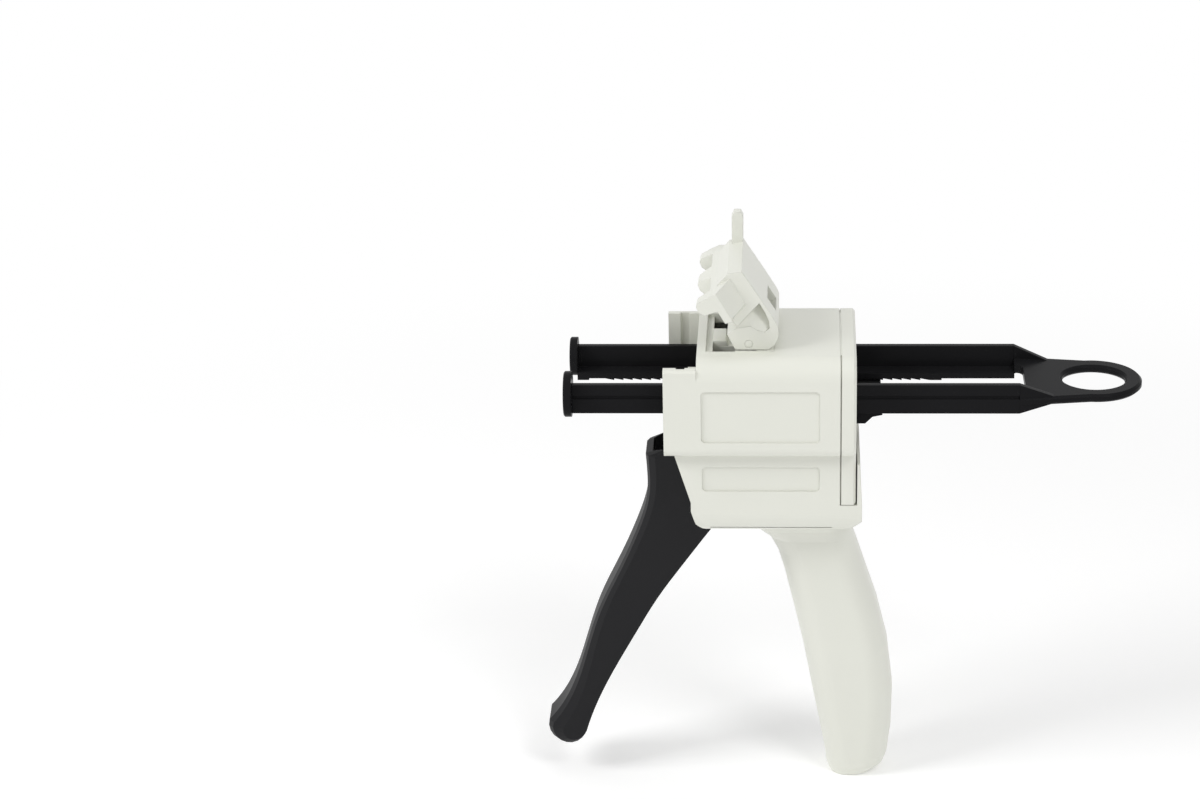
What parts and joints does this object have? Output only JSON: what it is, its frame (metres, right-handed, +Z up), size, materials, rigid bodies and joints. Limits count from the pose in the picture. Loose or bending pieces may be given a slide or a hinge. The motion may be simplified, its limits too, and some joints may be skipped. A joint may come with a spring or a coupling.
{
  "type": "dental dispensing gun",
  "caption": "Hand-held dispensing gun with a cartridge bay, twin toothed plunger rods, pull ring, squeeze trigger, release lever and clawed latch.",
  "frame": {"origin": "on the drive axis, midway between the two plunger axes, on the face that the cartridge flange seats on", "axes": "+X back along the drive axis towards the pull ring, +Z up out of the cartridge slot, -Y towards the larger disc"},
  "size_m": [0.2307, 0.065, 0.2296],
  "materials": {
    "ivory_plastic": "satin moulded plastic",
    "black_plastic": "fine moulded plastic",
    "graphite_plastic": "satin moulded plastic",
    "steel": "plain ground steel"
  },
  "bodies": {
    "frame": {"housing": "ivory_plastic", "rear_cover": "ivory_plastic", "trigger_pin": "steel", "latch_pin": "steel", "release_pin": "steel", "trigger_spring": "steel", "release_spring": "steel"},
    "trigger": {"trigger": "graphite_plastic", "pawl_pin": "steel", "pawl_spring": "steel"},
    "pawl": {"drive_pawl": "black_plastic"},
    "pusher": {"rack_large_side": "black_plastic", "rack_small_side": "black_plastic", "plunger_disc_large": "black_plastic", "plunger_disc_small": "black_plastic", "pull_ring": "black_plastic"},
    "release": {"release_lever": "black_plastic"},
    "latch": {"latch_lever": "ivory_plastic"}
  },
  "joints": [
    {"name": "pusher_slide", "type": "slide", "parent": "frame", "child": "pusher", "axis": [1, 0, 0], "range_m": [-0.0576, 0.0468]},
    {"name": "trigger_squeeze", "type": "hinge", "parent": "frame", "child": "trigger", "pos_m": [0.017, 0, -0.031], "axis": [0, -1, 0], "range_deg": [0, 22], "stiffness_Nm_per_rad": 0.3, "springref_deg": -28.65, "deforming": ["trigger_spring"]},
    {"name": "pawl_swing", "type": "hinge", "parent": "trigger", "child": "pawl", "pos_m": [0.02013, 0, -0.0149], "axis": [0, -1, 0], "range_deg": [-22, 0], "deforming": ["pawl_spring"]},
    {"name": "release_press", "type": "hinge", "parent": "frame", "child": "release", "pos_m": [0.036, 0, -0.0145], "axis": [0, 1, 0], "range_deg": [0, 7], "stiffness_Nm_per_rad": 0.1, "springref_deg": -28.65, "deforming": ["release_spring"]},
    {"name": "latch_flip", "type": "hinge", "parent": "frame", "child": "latch", "pos_m": [0.024, 0, 0.02], "axis": [0, -1, 0], "range_deg": [0, 55]}
  ],
  "couplings": [
    {"joint": "pawl_swing", "follows": "trigger_squeeze", "ratio": -1}
  ]
}
